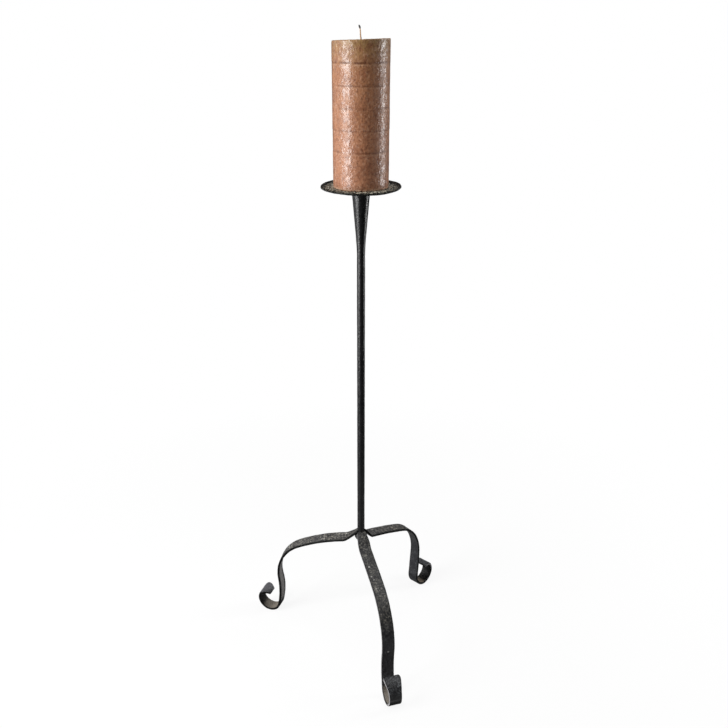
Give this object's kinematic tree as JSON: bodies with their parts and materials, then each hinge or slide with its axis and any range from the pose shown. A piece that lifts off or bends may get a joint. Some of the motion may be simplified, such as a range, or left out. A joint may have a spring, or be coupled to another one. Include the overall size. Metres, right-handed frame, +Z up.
{
  "type": "pillar candle holder",
  "caption": "Tall forged-iron floor candlestick with scrolled strap legs, a slim round stem, a flared cone and a round drip pan whose spike holds a lift-off pillar candle.",
  "frame": {"origin": "on the floor, on the stem's axis", "axes": "+Z up along the stem; -Y along the front leg; +X to the right seen from the front leg's side"},
  "size_m": [0.3049, 0.2858, 0.8897],
  "materials": {
    "forged_iron": "blackened forged iron, hammered, satin, with worn grey edges",
    "pan_iron": "blackened hammered sheet iron, waxed, with a speckled sheen",
    "candle_wax": "copper-brown rustic wax in poured layers, satin metallic sheen",
    "candle_wick": "waxed cotton braid with a dark dipped tip"
  },
  "bodies": {
    "stand": {"stem": "forged_iron", "stem_cone": "forged_iron", "drip_pan": "pan_iron", "candle_spike": "forged_iron", "root_weld": "forged_iron", "leg_front": "forged_iron", "leg_right": "forged_iron", "leg_left": "forged_iron"},
    "candle": {"candle_wax": "candle_wax", "candle_wick": "candle_wick"}
  },
  "joints": [
    {"name": "candle_lift", "type": "slide", "parent": "stand", "child": "candle", "axis": [0, 0, 1], "range_m": [0, 0.06]}
  ]
}
